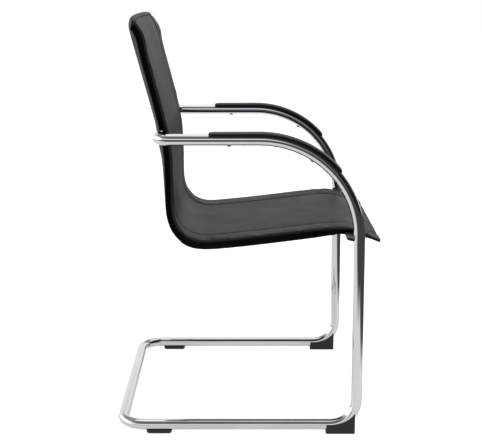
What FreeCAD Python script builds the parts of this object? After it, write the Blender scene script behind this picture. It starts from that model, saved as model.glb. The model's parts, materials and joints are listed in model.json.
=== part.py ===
import FreeCAD, Part
import math
import os

# Cantilever armchair with a bent steel tube frame and an upholstered one-piece seat and back.
# Millimetres, +Z up, the sitter faces +X, the floor is Z = 0 and the chair is symmetric about Y = 0.
# The origin is the middle of the chair's outline on the floor.

# Overall sizes of the tube frame
tubeDiameter = 24.0
tubeWall = 1.8
frameHalfWidth = 275.0
baseRearX = -278.5
runnerHeight = 17.8
legBottomX = 240.6
legTopX = 236.1
armHeight = 652.0
armRearX = -188.5
baseRearRadius = 50.0
legBottomRadius = 58.0
armFrontRadius = 213.0
armRearRadius = 24.0
armEndY = 225.0
jointSleeveLength = 90.0
jointSleeveWall = 2.0
jointScrewDiameter = 5.0
armScrewY = 238.0
armPlugLength = 22.0

# Flat bar across the back
backBarFrontX = -181.5
backBarThickness = 5.0
backBarHeight = 24.0
backBarTongueHeight = 10.0
backBarTongueY = 246.0

# Arm pads
padHalfWidth = 18.0
padCrown = 4.2
padRearX = -82.0
padFrontAngle = 50.0
padScrewDiameter = 5.0

# Feet
footHalfWidth = 12.5
frontFootRearX = 173.0
frontFootFrontX = 237.0
frontFootTop = 46.8
frontFootRearTop = 20.8
glideRearX = -223.0
glideFrontX = -167.0
glideHalfWidth = 9.5
glideHeight = 7.5

# Shell: one seat and back profile, seen from the side
shellHalfWidth = 222.0
seamHalfWidth = 165.0
padThickness = 6.0
sheetThickness = 1.2
railThickness = 8.0
railWidth = 20.0
railWall = 1.5
strapThickness = 2.5
railOuterY = 213.0
gussetThickness = 1.6
coverEdgeDepth = 18.0
seatEdgeHeight = 4.2
frontPlateThickness = 1.8
layerGap = 0.2

# Seat support
crossBarWidth = 27.0
crossBarThickness = 6.0
crossBarX = 225.5
crossBarZ = 436.9
crossBarTilt = 12.4
seatBoltDiameter = 6.0
seatBoltY = 120.0
washerRadius = 6.6
washerThickness = 1.6
boltTopAboveBar = 5.9

sides = {"left": 1.0, "right": -1.0}
tubeRadius = tubeDiameter / 2.0
tubeBore = tubeRadius - tubeWall
sleeveRadius = tubeBore - 0.1


def vec(x, y, z):
    return FreeCAD.Vector(x, y, z)


# Curves and basic shapes
def filletedPath(points, radii):
    """A smooth wire through corner points, each inner corner rounded with its own radius."""
    edges = []
    start = points[0]
    for i in range(1, len(points) - 1):
        corner = points[i]
        back = (points[i - 1] - corner).normalize()
        ahead = (points[i + 1] - corner).normalize()
        half = back.getAngle(ahead) / 2.0
        reach = radii[i - 1] / math.tan(half)
        bisector = (back + ahead).normalize()
        centre = corner + bisector * (radii[i - 1] / math.sin(half))
        first = corner + back * reach
        last = corner + ahead * reach
        middle = centre - bisector * radii[i - 1]
        edges.append(Part.LineSegment(start, first).toShape())
        edges.append(Part.Arc(first, middle, last).toShape())
        start = last
    edges.append(Part.LineSegment(start, points[-1]).toShape())
    return Part.Wire(edges)


def roundSweep(wire, radius):
    """A solid round bar along a wire."""
    first = wire.Edges[0]
    start = first.valueAt(first.FirstParameter)
    direction = first.tangentAt(first.FirstParameter)
    circle = Part.Wire([Part.Circle(start, direction, radius).toShape()])
    return wire.makePipeShell([circle], True, False)


def roundTube(wire, outer, inner):
    return roundSweep(wire, outer).cut(roundSweep(wire, inner))


def cylinder(radius, start, end):
    along = end - start
    return Part.makeCylinder(radius, along.Length, start, along)


def splineThrough(points):
    curve = Part.BSplineCurve()
    curve.interpolate(points)
    return curve


def bothSides(shape):
    """The same solid on the other side of the middle plane."""
    return shape.mirror(vec(0, 0, 0), vec(0, 1, 0))


def onSide(shape, side):
    """Shapes are drawn on the right side (-Y) and mirrored for the left side."""
    return bothSides(shape) if side == "left" else shape


# Tube frame
def framePath():
    """Half of the frame: base crossbar, runner, leg and arm, whose rear end bends in to the back."""
    y = -frameHalfWidth
    points = [
        vec(baseRearX, 0, runnerHeight),
        vec(baseRearX, y, runnerHeight),
        vec(legBottomX, y, runnerHeight),
        vec(legTopX, y, armHeight),
        vec(armRearX, y, armHeight),
        vec(armRearX, -armEndY, armHeight),
    ]
    return filletedPath(points, [baseRearRadius, legBottomRadius, armFrontRadius, armRearRadius])


def baseScrewPlaces():
    return [vec(baseRearX, y, runnerHeight) for y in (-28.0, 28.0)]


def armScrewPlace():
    return vec(armRearX, -armScrewY, armHeight)


def screwHole(place, radius):
    return cylinder(radius, place - vec(0, 0, tubeRadius + 4.0), place)


def padScrewPlaces():
    """Two screws hold each pad: one on the straight part, one on the bend."""
    straight = (vec(-40.0, -frameHalfWidth, armHeight), vec(0, 0, 1))
    angle = math.radians(33.0)
    centre = vec(legTopX + 1.1 - armFrontRadius, 0, armHeight - armFrontRadius)
    out = vec(math.sin(angle), 0, math.cos(angle))
    bent = (centre + out * armFrontRadius + vec(0, -frameHalfWidth, 0), out)
    return [straight, bent]


def footScrewPlaces():
    return [vec(204.0, -frameHalfWidth, runnerHeight), vec(-195.0, -frameHalfWidth, runnerHeight)]


def frameHalf(side):
    tube = roundTube(framePath(), tubeRadius, tubeBore)
    for place in (baseScrewPlaces()[0], armScrewPlace()):
        tube = tube.cut(screwHole(place, jointScrewDiameter / 2.0))
    for place, out in padScrewPlaces():
        drill = cylinder(padScrewDiameter / 2.0, place - out * (tubeRadius + 4), place + out * (tubeRadius + 1))
        tube = tube.cut(drill)
    for place in footScrewPlaces():
        tube = tube.cut(cylinder(2.0, place - vec(0, 0, tubeRadius + 3), place))
    return onSide(tube, side)


def backBarBox(extra, height, reach):
    """A block round the flat bar's line, grown by a clearance."""
    depth = backBarThickness + 2 * extra
    tall = height + 2 * extra
    corner = vec(backBarFrontX - backBarThickness - extra, -reach, armHeight - tall / 2.0)
    return Part.makeBox(depth, 2 * reach, tall, corner)


def backCrossbar():
    """A flat bar through the back; narrower tongues at its ends go into plugs in the arm tubes."""
    bar = backBarBox(0.0, backBarHeight, armEndY - 0.4)
    tongues = backBarBox(0.0, backBarTongueHeight, backBarTongueY)
    return bar.fuse(tongues).removeSplitter()


def baseJointSleeve():
    half = jointSleeveLength / 2.0
    ends = (vec(baseRearX, -half, runnerHeight), vec(baseRearX, half, runnerHeight))
    sleeve = cylinder(sleeveRadius, *ends).cut(cylinder(sleeveRadius - jointSleeveWall, *ends))
    for place in baseScrewPlaces():
        sleeve = sleeve.cut(screwHole(place, jointScrewDiameter / 2.0))
    return sleeve


def armJointSleeve(side):
    """A turned plug in the arm tube's end, slotted for the tongue of the flat bar."""
    inner = -armEndY - 1.0
    plug = cylinder(sleeveRadius, vec(armRearX, inner, armHeight), vec(armRearX, inner - armPlugLength, armHeight))
    plug = plug.cut(backBarBox(0.2, backBarTongueHeight, backBarTongueY + 0.3))
    under = armScrewPlace() - vec(0, 0, sleeveRadius - jointSleeveWall - 0.2)
    plug = plug.cut(cylinder(jointScrewDiameter / 2.0, under - vec(0, 0, 4.0), under))
    return onSide(plug, side)


def jointScrew(place):
    """A short screw with a low round head, put in from below."""
    top = place - vec(0, 0, sleeveRadius - jointSleeveWall)
    under = place - vec(0, 0, tubeRadius)
    shank = cylinder(jointScrewDiameter / 2.0 - 0.05, under - vec(0, 0, 0.1), top)
    head = cylinder(4.2, under - vec(0, 0, 1.8), under - vec(0, 0, -0.4))
    head = head.cut(cylinder(tubeRadius, place - vec(0, 20, 0), place + vec(0, 20, 0)))
    socket = cylinder(1.5, under - vec(0, 0, 1.9), under - vec(0, 0, 0.7))
    return head.fuse(shank).cut(socket)


def baseJointScrews():
    return Part.makeCompound([jointScrew(place) for place in baseScrewPlaces()])


def armJointScrew(side):
    return onSide(jointScrew(armScrewPlace()), side)


# Arm pads
def padStation(t):
    """A point on the arm's centre line and its outward normal; t runs 0 to 1 from rear to front."""
    centre = vec(legTopX + 1.1 - armFrontRadius, -frameHalfWidth, armHeight - armFrontRadius)
    straight = centre.x - padRearX
    arc = armFrontRadius * math.radians(padFrontAngle)
    run = t * (straight + arc)
    if run <= straight:
        return vec(padRearX + run, -frameHalfWidth, armHeight), vec(0, 0, 1)
    angle = (run - straight) / armFrontRadius
    out = vec(math.sin(angle), 0, math.cos(angle))
    return centre + out * armFrontRadius, out


def padSection(t):
    """A low D-shaped section: crowned top, rounded shoulders and a flat underside."""
    place, out = padStation(t)
    swell = math.sin(math.pi * min(1.0, max(0.0, t))) ** 0.5 if 0.0 < t < 1.0 else 0.0
    across = vec(0, 1, 0)
    half = padHalfWidth * (0.74 + 0.26 * swell)
    top = tubeRadius + padCrown * (0.55 + 0.45 * swell) + 1.4 * t
    low = 6.0 - 4.0 * t
    mid = low + (top - low) * 0.52

    def at(y, n):
        return place + across * y + out * n

    crown = Part.BSplineCurve()
    crown.interpolate([
        at(-half, mid), at(-half * 0.8, top - 2.4), at(0, top), at(half * 0.8, top - 2.4), at(half, mid),
    ])
    edges = [
        crown.toShape(),
        Part.LineSegment(at(half, mid), at(half * 0.93, low)).toShape(),
        Part.LineSegment(at(half * 0.93, low), at(-half * 0.93, low)).toShape(),
        Part.LineSegment(at(-half * 0.93, low), at(-half, mid)).toShape(),
    ]
    return Part.Wire(edges)


def armPad(side):
    steps = [0.0, 0.03, 0.1, 0.25, 0.36, 0.5, 0.65, 0.8, 0.92, 0.975, 1.0]
    pad = Part.makeLoft([padSection(t) for t in steps], True, False)
    pad = pad.cut(roundSweep(framePath(), tubeRadius))
    for place, out in padScrewPlaces():
        pad = pad.cut(cylinder(padScrewDiameter / 2.0, place, place + out * (tubeRadius + 2.6)))
    return onSide(pad, side)


def padScrews(side):
    """Two screws up through each arm tube; their low heads sit under the tube."""
    screws = []
    for place, out in padScrewPlaces():
        shank = cylinder(padScrewDiameter / 2.0 - 0.05, place - out * (tubeRadius + 0.1),
                         place + out * (tubeRadius + 2.4))
        head = cylinder(4.5, place - out * (tubeRadius + 1.8), place - out * (tubeRadius - 0.4))
        head = head.cut(roundSweep(framePath(), tubeRadius))
        socket = cylinder(1.6, place - out * (tubeRadius + 1.9), place - out * (tubeRadius + 0.7))
        screws.append(head.fuse(shank).cut(socket))
    return onSide(Part.makeCompound(screws), side)


# Feet
def prismY(wire, y0, y1):
    """A flat outline in the side plane, made solid between two Y values."""
    face = Part.Face(wire)
    solid = face.extrude(vec(0, y1 - y0, 0))
    solid.translate(vec(0, y0, 0))
    return solid


def side(x, z):
    return vec(x, 0, z)


def closedOutline(points):
    return Part.makePolygon([side(*p) for p in points] + [side(*points[0])])


def frontFoot(which):
    """A wedge block in the outer bend of the runner; its side walls reach up over the tube."""
    shoulder = side(frontFootRearX + 7, frontFootRearTop)
    arc = Part.Arc(side(frontFootFrontX, frontFootTop), side(219.5, 31.3), shoulder)
    edges = [
        Part.LineSegment(shoulder, side(frontFootRearX, frontFootRearTop)).toShape(),
        Part.LineSegment(side(frontFootRearX, frontFootRearTop), side(frontFootRearX, 0)).toShape(),
        Part.LineSegment(side(frontFootRearX, 0), side(frontFootFrontX, 0)).toShape(),
        Part.LineSegment(side(frontFootFrontX, 0), side(frontFootFrontX, frontFootTop)).toShape(),
        arc.toShape(),
    ]
    y = -frameHalfWidth
    foot = prismY(Part.Wire(edges), y - footHalfWidth, y + footHalfWidth)
    upright = [e for e in foot.Edges if abs(e.BoundBox.ZMin) < 0.01 and e.BoundBox.ZMax > 10]
    foot = foot.makeFillet(2.5, upright)
    foot = foot.cut(roundSweep(framePath(), tubeRadius))
    place = footScrewPlaces()[0]
    low = vec(place.x, y, 0)
    foot = foot.cut(cylinder(4.2, low - vec(0, 0, 1), low + vec(0, 0, 3.6)))
    foot = foot.cut(cylinder(2.0, low, place))
    return onSide(foot, which)


def rearGlide(which):
    """A low glide under the runner, with sloped ends and a cradle for the tube."""
    outline = closedOutline([
        (glideRearX + 4, 0), (glideFrontX - 4, 0), (glideFrontX, 5), (glideFrontX, glideHeight),
        (glideRearX, glideHeight), (glideRearX, 5),
    ])
    y = -frameHalfWidth
    glide = prismY(outline, y - glideHalfWidth, y + glideHalfWidth)
    glide = glide.cut(roundSweep(framePath(), tubeRadius))
    place = footScrewPlaces()[1]
    low = vec(place.x, y, 0)
    glide = glide.cut(cylinder(4.2, low - vec(0, 0, 1), low + vec(0, 0, 3.6)))
    glide = glide.cut(cylinder(2.0, low, place))
    return onSide(glide, which)


def footScrews(index):
    """Countersunk-style screws holding a pair of feet, heads sunk above the floor."""
    place = footScrewPlaces()[index]
    low = vec(place.x, -frameHalfWidth, 0)
    head = cylinder(4.0, low + vec(0, 0, 1.4), low + vec(0, 0, 3.5))
    shank = cylinder(1.9, low + vec(0, 0, 3.4), low + vec(0, 0, 13.0))
    cross = cylinder(1.3, low + vec(0, 0, 1.3), low + vec(0, 0, 2.6))
    screw = head.fuse(shank).cut(cross)
    return Part.makeCompound([screw, bothSides(screw)])


# Shell profile
def faceCurve():
    """The front of the back and the top of the seat, from the top edge to the front lip."""
    outline = [
        (-237.0, 895.5), (-221.5, 872.5), (-211.5, 836.5), (-195.5, 771.5), (-174.5, 686.5),
        (-163.5, 624.5), (-160.5, 571.5), (-160.0, 516.5), (-156.0, 470.5), (-142.0, 444.0),
        (-112.0, 426.5), (-70.0, 425.5), (27.0, 435.3), (114.0, 446.0), (175.0, 452.5),
        (212.0, 453.0), (243.0, 445.7), (268.0, 434.7), (290.4, 424.3),
    ]
    return splineThrough([side(x, z) for x, z in outline])


def layerPoint(curve, t, depth):
    """A point below the face by the given depth."""
    p = curve.value(t)
    tangent = curve.tangent(t)[0]
    inward = vec(0, 1, 0).cross(tangent).normalize()
    return p + inward * depth


face = faceCurve()
faceStart = face.FirstParameter
faceEnd = face.LastParameter


def paramAtHeight(z):
    """Where the back part of the face curve passes a height."""
    low, high = faceStart, faceStart + (faceEnd - faceStart) * 0.55
    for _ in range(50):
        mid = (low + high) / 2.0
        if face.value(mid).z > z:
            low = mid
        else:
            high = mid
    return low


def paramAtX(x):
    """Where the seat part of the face curve passes a forward distance."""
    low, high = faceStart + (faceEnd - faceStart) * 0.55, faceEnd
    for _ in range(50):
        mid = (low + high) / 2.0
        if face.value(mid).x < x:
            low = mid
        else:
            high = mid
    return low


def layerCurve(t0, t1, depth):
    """A curve parallel to the face between two places on it."""
    count = max(3, int(44 * (t1 - t0) / (faceEnd - faceStart)) + 2)
    points = []
    for i in range(count + 1):
        points.append(layerPoint(face, t0 + (t1 - t0) * i / count, depth))
    return splineThrough(points)


def layerOutline(t0, t1, near, far):
    """A closed outline between two depths below the face."""
    upper = layerCurve(t0, t1, near).toShape()
    lower = layerCurve(t0, t1, far).toShape()
    a = layerPoint(face, t0, near)
    b = layerPoint(face, t1, near)
    c = layerPoint(face, t1, far)
    d = layerPoint(face, t0, far)
    return Part.Wire([
        upper, Part.LineSegment(b, c).toShape(), lower, Part.LineSegment(d, a).toShape(),
    ])


def layer(t0, t1, near, far, y0, y1):
    return prismY(layerOutline(t0, t1, near, far), y0, y1)


railNear = padThickness + sheetThickness + 2 * layerGap
railFar = railNear + railThickness
coverNear = railFar + layerGap
tCap = paramAtHeight(893.3)
tPadTop = paramAtHeight(892.7)
tSheetTop = paramAtHeight(889.5)
tFrameTop = paramAtHeight(887.5)
tRailTop = paramAtHeight(868.5)
tAboveBar = paramAtHeight(armHeight + backBarHeight / 2.0 + 1.0)
tBelowBar = paramAtHeight(armHeight - backBarHeight / 2.0 - 1.0)
tCoverSplit = paramAtHeight(436.5)
tRailFront = paramAtX(209.0)
tSeatFront = paramAtX(243.0)


def crossbarClearance(extra):
    """The space taken by the flat bar in the back, a little larger, for pieces around it."""
    return backBarBox(extra, backBarHeight, armEndY + 5.0)


def hollowRail(t0, t1, y0, y1, shrink):
    """A flat tube; shrink 1 closes its long sides, shrink 0 leaves its bore open at both Y ends."""
    outer = layer(t0, t1, railNear, railFar, y0, y1)
    margin = shrink * railWall
    inner = layer(t0, t1, railNear + railWall, railFar - railWall, y0 + margin, y1 - margin)
    return outer.cut(inner)


def upperRail(which):
    """A side rail of the inner frame, above the crossbar."""
    rail = hollowRail(tRailTop, tAboveBar, -railOuterY, -railOuterY + railWidth, 1.0)
    return onSide(rail.cut(crossbarClearance(0.05)), which)


def lowerRail(which):
    """A side rail of the inner frame, from the crossbar round the bend to the seat front."""
    rail = hollowRail(tBelowBar, tRailFront, -railOuterY, -railOuterY + railWidth, 1.0)
    return onSide(rail.cut(crossbarClearance(0.05)), which)


def crossRail(t, width, y):
    """A flat rail across the shell, centred at a place on the face."""
    speed = (face.value(t + 1e-4) - face.value(t - 1e-4)).Length / 2e-4
    half = width / 2.0 / speed
    return layer(t - half, t + half, railNear + 3.0, railNear + 3.0 + strapThickness, -y, y)


def topRail():
    return hollowRail(tFrameTop, tRailTop, -railOuterY, railOuterY, 0.0)


def frontRail():
    rail = layer(tRailFront, tSeatFront, railNear, railNear + frontPlateThickness, -railOuterY, railOuterY)
    for y in (-seatBoltY, seatBoltY):
        rail = rail.cut(seatBoltAxis(y, seatBoltDiameter / 2.0))
    return rail


def seatStrap():
    y = railOuterY - railWidth
    return crossRail(paramAtX(30.0), 40.0, y)


def lumbarStrap():
    y = railOuterY - railWidth
    return crossRail(paramAtHeight(516.5), 40.0, y)


def backStrap():
    y = railOuterY - railWidth
    return crossRail(paramAtHeight(771.5), 40.0, y)


def supportSheet(t0, t1):
    """The stretched sheet that carries the padding, above or below the crossbar."""
    near = padThickness + layerGap
    sheet = layer(t0, t1, near, near + sheetThickness, -railOuterY, railOuterY)
    return sheet.cut(crossbarClearance(0.2))


def sideGusset(t0, t1, which):
    """The black strip that closes the side of the shell, set in from the edges."""
    near = padThickness + layerGap
    outer = -railOuterY - layerGap
    strip = layer(t0, t1, near, railFar, outer - gussetThickness, outer)
    return onSide(strip.cut(crossbarClearance(0.3)).cut(crossBarBlock(0.3)), which)


# Upholstery
def sweptSoft(section, t0, t1):
    """A closed section in (Y, depth) carried along the face curve."""
    spine = Part.Wire([layerCurve(t0, t1, 0.0).toShape()])
    first = layerPoint(face, t0, 0.0)
    inward = (layerPoint(face, t0, 1.0) - first)

    def at(y, depth):
        return first + vec(0, y, 0) + inward * depth

    edges = []
    for kind, points in section:
        places = [at(*p) for p in points]
        if kind == "line":
            edges.append(Part.LineSegment(places[0], places[1]).toShape())
        else:
            edges.append(splineThrough(places).toShape())
    sweep = Part.BRepOffsetAPI.MakePipeShell(spine)
    sweep.setBiNormalMode(vec(0, 1, 0))
    sweep.add(Part.Wire(edges))
    sweep.build()
    sweep.makeSolid()
    return sweep.shape()


def borderPad(which):
    """A padded side border: crowned, drawn in at the seam and rolled at the outer edge."""
    seam = -seamHalfWidth - 0.3
    edge = -shellHalfWidth
    section = [
        ("curve", [(seam, 4.4), (seam - 4, 1.6), (seam - 14, 0.2), (seam - 30, 0.0),
                   (seam - 46, 0.7), (edge + 2.5, 1.6), (edge, 3.2)]),
        ("curve", [(edge, 3.2), (edge + 0.8, 4.6), (edge + 3.5, padThickness - 0.6), (edge + 9, padThickness)]),
        ("line", [(edge + 9, padThickness), (seam, padThickness)]),
        ("line", [(seam, padThickness), (seam, 4.4)]),
    ]
    pad = sweptSoft(section, tPadTop, faceEnd).cut(crossbarClearance(0.3))
    return onSide(pad, which)


def centrePad():
    """The middle panel: slightly crowned between the two seams."""
    seam = seamHalfWidth - 0.3
    section = [
        ("curve", [(-seam, 4.4), (-seam + 5, 2.9), (-seam + 25, 1.9), (0, 1.2),
                   (seam - 25, 1.9), (seam - 5, 2.9), (seam, 4.4)]),
        ("line", [(seam, 4.4), (seam, padThickness)]),
        ("line", [(seam, padThickness), (-seam, padThickness)]),
        ("line", [(-seam, padThickness), (-seam, 4.4)]),
    ]
    return sweptSoft(section, tPadTop, faceEnd).cut(crossbarClearance(0.3))


def backCover():
    """The padded rear of the back: thick at the top, thin at the bend, rolled over the top edge."""
    inner = layerCurve(tCap, tCoverSplit, coverNear)
    rear = [
        (-251.0, 883.5), (-249.0, 868.5), (-240.0, 831.5), (-224.0, 771.5), (-204.0, 696.5), (-198.5, 673.5),
        (-192.5, 630.5), (-188.0, 608.5), (-183.5, 562.5), (-181.0, 516.5), (-177.5, 476.5),
        (-167.0, 438.5), (-147.0, 412.5),
    ]
    outer = splineThrough([side(x, z) for x, z in rear])
    bottom = side(*rear[-1])
    capRear = side(-246.0, 899.9)
    capFront = side(-240.6, 900.5)
    capTip = side(-236.6, 897.1)
    edges = [
        outer.toShape(),
        Part.LineSegment(bottom, layerPoint(face, tCoverSplit, coverNear)).toShape(),
        inner.toShape(),
        Part.LineSegment(layerPoint(face, tCap, coverNear), layerPoint(face, tCap, 0.0)).toShape(),
        Part.LineSegment(layerPoint(face, tCap, 0.0), capTip).toShape(),
        Part.LineSegment(capTip, capFront).toShape(),
        Part.LineSegment(capFront, capRear).toShape(),
        Part.Arc(capRear, side(-249.4, 893.0), side(*rear[0])).toShape(),
    ]
    cover = prismY(Part.Wire(edges), -shellHalfWidth, shellHalfWidth)
    setBack = layer(tSheetTop, tCoverSplit + 0.01 * (faceEnd - faceStart), coverNear - 1.0, coverEdgeDepth,
                    -shellHalfWidth - 1.0, -railOuterY - layerGap)
    return cover.cut(crossbarClearance(0.3)).cut(setBack).cut(bothSides(setBack))


def seatEdgeSpace(under):
    """The space beside the seat frame, down to a low band left along the cover's edge."""
    tFront = paramAtX(198.0)
    t0 = tCoverSplit - 0.01 * (faceEnd - faceStart)
    above = layerCurve(t0, tFront, coverNear - 1.0)
    rear = layerPoint(face, t0, coverNear - 1.0)
    front = layerPoint(face, tFront, coverNear - 1.0)
    band = [(x, z + seatEdgeHeight) for x, z in under if -130.0 < x < 180.0]
    low = splineThrough([side(-158.0, 424.0)] + [side(x, z) for x, z in band] + [front])
    wire = Part.Wire([above.toShape(), low.toShape(), Part.LineSegment(side(-158.0, 424.0), rear).toShape()])
    return prismY(wire, -shellHalfWidth - 1.0, -railOuterY - layerGap)


def seatCover():
    """The cover under the seat, from the bend to the front lip, where it meets the padding."""
    t0 = tCoverSplit + 0.0007 * (faceEnd - faceStart)
    t1 = tSeatFront + 0.002 * (faceEnd - faceStart)
    lipDepth = padThickness + layerGap
    inner = layerCurve(t0, t1, coverNear)
    lip = layerCurve(t1, faceEnd, lipDepth)
    under = [
        (-145.9, 413.2), (-126.0, 403.8), (-104.0, 399.7), (-60.0, 400.8), (27.0, 410.0), (114.0, 421.0),
        (175.0, 430.0), (212.0, 434.5), (250.0, 426.3), (272.0, 420.7), (286.4, 417.5),
    ]
    outer = splineThrough([side(x, z) for x, z in under])
    edges = [
        inner.toShape(),
        Part.LineSegment(layerPoint(face, t1, coverNear), layerPoint(face, t1, lipDepth)).toShape(),
        lip.toShape(),
        Part.LineSegment(layerPoint(face, faceEnd, lipDepth), side(*under[-1])).toShape(),
        outer.toShape(),
        Part.LineSegment(side(*under[0]), layerPoint(face, t0, coverNear)).toShape(),
    ]
    cover = prismY(Part.Wire(edges), -shellHalfWidth, shellHalfWidth)
    for y in (-seatBoltY, seatBoltY):
        cover = cover.cut(seatBoltAxis(y, washerRadius + 0.8))
    setBack = seatEdgeSpace(under)
    return cover.cut(crossBarBlock(0.3)).cut(setBack).cut(bothSides(setBack))


# Seat support
def barDirections():
    """Directions along and up from the tilted cross bar."""
    a = math.radians(crossBarTilt)
    along = vec(math.cos(a), 0, -math.sin(a))
    up = vec(math.sin(a), 0, math.cos(a))
    return along, up


def seatBoltAxis(y, radius):
    along, up = barDirections()
    middle = vec(crossBarX, y, crossBarZ)
    return cylinder(radius, middle - up * 12.0, middle + up * 10.0)


def crossBarBlock(extra):
    """The flat seat bar's own shape from leg to leg, grown by a clearance."""
    along, up = barDirections()
    middle = vec(crossBarX, 0, crossBarZ)
    half = along * (crossBarWidth / 2.0 + extra)
    rise = up * (crossBarThickness / 2.0 + extra)
    corners = [middle - half - rise, middle + half - rise, middle + half + rise, middle - half + rise]
    wire = Part.makePolygon(corners + [corners[0]])
    return prismY(wire, -frameHalfWidth, frameHalfWidth)


def seatCrossBar():
    """A flat bar between the legs, coped to the tubes, that carries the front of the seat."""
    bar = crossBarBlock(0.0)
    legs = roundSweep(framePath(), tubeRadius)
    bar = bar.cut(legs).cut(bothSides(legs))
    for y in (-seatBoltY, seatBoltY):
        bar = bar.cut(seatBoltAxis(y, seatBoltDiameter / 2.0))
    solids = sorted(bar.Solids, key=lambda s: s.Volume)
    return solids[-1]


def seatBolts():
    """Two bolts up through the cross bar into the front rail."""
    along, up = barDirections()
    bolts = []
    for y in (-seatBoltY, seatBoltY):
        middle = vec(crossBarX, y, crossBarZ)
        under = middle - up * (crossBarThickness / 2.0 + washerThickness)
        shank = cylinder(seatBoltDiameter / 2.0 - 0.05, under, middle + up * boltTopAboveBar)
        head = cylinder(5.0, under - up * 3.6, under)
        socket = cylinder(2.0, under - up * 3.7, under - up * 1.2)
        bolts.append(head.fuse(shank).cut(socket))
    return Part.makeCompound(bolts)


def seatWashers():
    along, up = barDirections()
    washers = []
    for y in (-seatBoltY, seatBoltY):
        middle = vec(crossBarX, y, crossBarZ)
        top = middle - up * (crossBarThickness / 2.0)
        ring = cylinder(washerRadius, top - up * washerThickness, top)
        ring = ring.cut(cylinder(seatBoltDiameter / 2.0, top - up * 2.0, top))
        washers.append(ring)
    return Part.makeCompound(washers)


def pieces():
    made = {
        "back_crossbar": backCrossbar(),
        "base_joint_sleeve": baseJointSleeve(),
        "base_joint_screws": baseJointScrews(),
        "seat_cross_bar": seatCrossBar(),
        "seat_bolts": seatBolts(),
        "seat_washers": seatWashers(),
        "front_foot_screws": footScrews(0),
        "rear_glide_screws": footScrews(1),
        "inner_top_rail": topRail(),
        "inner_front_rail": frontRail(),
        "inner_back_strap": backStrap(),
        "inner_lumbar_strap": lumbarStrap(),
        "inner_seat_strap": seatStrap(),
        "back_support_sheet": supportSheet(tSheetTop, tAboveBar),
        "seat_support_sheet": supportSheet(tBelowBar, tSeatFront),
        "centre_panel": centrePad(),
        "back_cover": backCover(),
        "seat_cover": seatCover(),
    }
    for which in sides:
        made["frame_" + which] = frameHalf(which)
        made["arm_joint_sleeve_" + which] = armJointSleeve(which)
        made["arm_joint_screw_" + which] = armJointScrew(which)
        made["arm_pad_" + which] = armPad(which)
        made["arm_pad_screws_" + which] = padScrews(which)
        made["front_foot_" + which] = frontFoot(which)
        made["rear_glide_" + which] = rearGlide(which)
        made["inner_upper_rail_" + which] = upperRail(which)
        made["inner_lower_rail_" + which] = lowerRail(which)
        made["upper_gusset_" + which] = sideGusset(tSheetTop, tAboveBar, which)
        made["lower_gusset_" + which] = sideGusset(tBelowBar, tSeatFront, which)
        made["side_border_" + which] = borderPad(which)
    return made


def main():
    os.makedirs("parts", exist_ok=True)
    for name, shape in sorted(pieces().items()):
        shape.exportStep("parts/" + name + ".step")
        print(name, shape.ShapeType, len(shape.Solids), "valid", shape.isValid(), "cm3", round(shape.Volume / 1000.0, 2))


main()
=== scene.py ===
import bpy
import json
import math
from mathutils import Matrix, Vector

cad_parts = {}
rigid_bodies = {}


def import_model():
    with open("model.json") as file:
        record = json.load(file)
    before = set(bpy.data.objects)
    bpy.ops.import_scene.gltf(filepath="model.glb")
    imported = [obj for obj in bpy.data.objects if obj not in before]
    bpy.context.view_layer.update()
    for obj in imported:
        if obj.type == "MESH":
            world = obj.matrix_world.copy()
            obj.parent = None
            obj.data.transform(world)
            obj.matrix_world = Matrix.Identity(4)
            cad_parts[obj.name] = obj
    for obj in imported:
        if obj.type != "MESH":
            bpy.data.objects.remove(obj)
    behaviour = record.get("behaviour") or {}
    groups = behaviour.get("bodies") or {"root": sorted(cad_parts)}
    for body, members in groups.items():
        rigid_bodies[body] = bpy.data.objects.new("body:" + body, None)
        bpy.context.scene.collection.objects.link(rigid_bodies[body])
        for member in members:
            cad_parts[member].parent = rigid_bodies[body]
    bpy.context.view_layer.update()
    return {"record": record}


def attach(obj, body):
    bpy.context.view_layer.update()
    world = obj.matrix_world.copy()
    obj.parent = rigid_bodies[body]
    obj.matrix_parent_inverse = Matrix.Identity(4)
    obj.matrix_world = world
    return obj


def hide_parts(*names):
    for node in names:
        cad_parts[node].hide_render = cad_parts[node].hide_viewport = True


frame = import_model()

scene = bpy.context.scene
scene.view_settings.view_transform = "Standard"
sides = {"left": 1.0, "right": -1.0}
mm = 0.001  # sizes below are millimetres, Blender works in metres


# Small helpers
def deselectAll():
    if bpy.context.object and bpy.context.object.mode != "OBJECT":
        bpy.ops.object.mode_set(mode="OBJECT")
    bpy.ops.object.select_all(action="DESELECT")


def pickOnly(piece):
    deselectAll()
    bpy.context.view_layer.objects.active = piece
    piece.select_set(True)


def point(x, y, z):
    return Vector((x * mm, y * mm, z * mm))


def smoothStep(t):
    t = min(max(t, 0.0), 1.0)
    return t * t * (3 - 2 * t)


def applyModifiers(piece):
    pickOnly(piece)
    for modifier in list(piece.modifiers):
        bpy.ops.object.modifier_apply(modifier=modifier.name)


def finishPiece(piece, name, material, angle=40.0):
    # outward faces, smooth shading with crisp creases, one material, on the chair's one body
    pickOnly(piece)
    piece.name = name
    piece.data.name = name
    bpy.ops.object.mode_set(mode="EDIT")
    bpy.ops.mesh.select_all(action="SELECT")
    bpy.ops.mesh.normals_make_consistent(inside=False)
    bpy.ops.object.mode_set(mode="OBJECT")
    bpy.ops.object.shade_smooth_by_angle(angle=math.radians(angle))
    piece.data.materials.clear()
    piece.data.materials.append(material)
    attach(piece, "root")
    deselectAll()
    return piece


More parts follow.
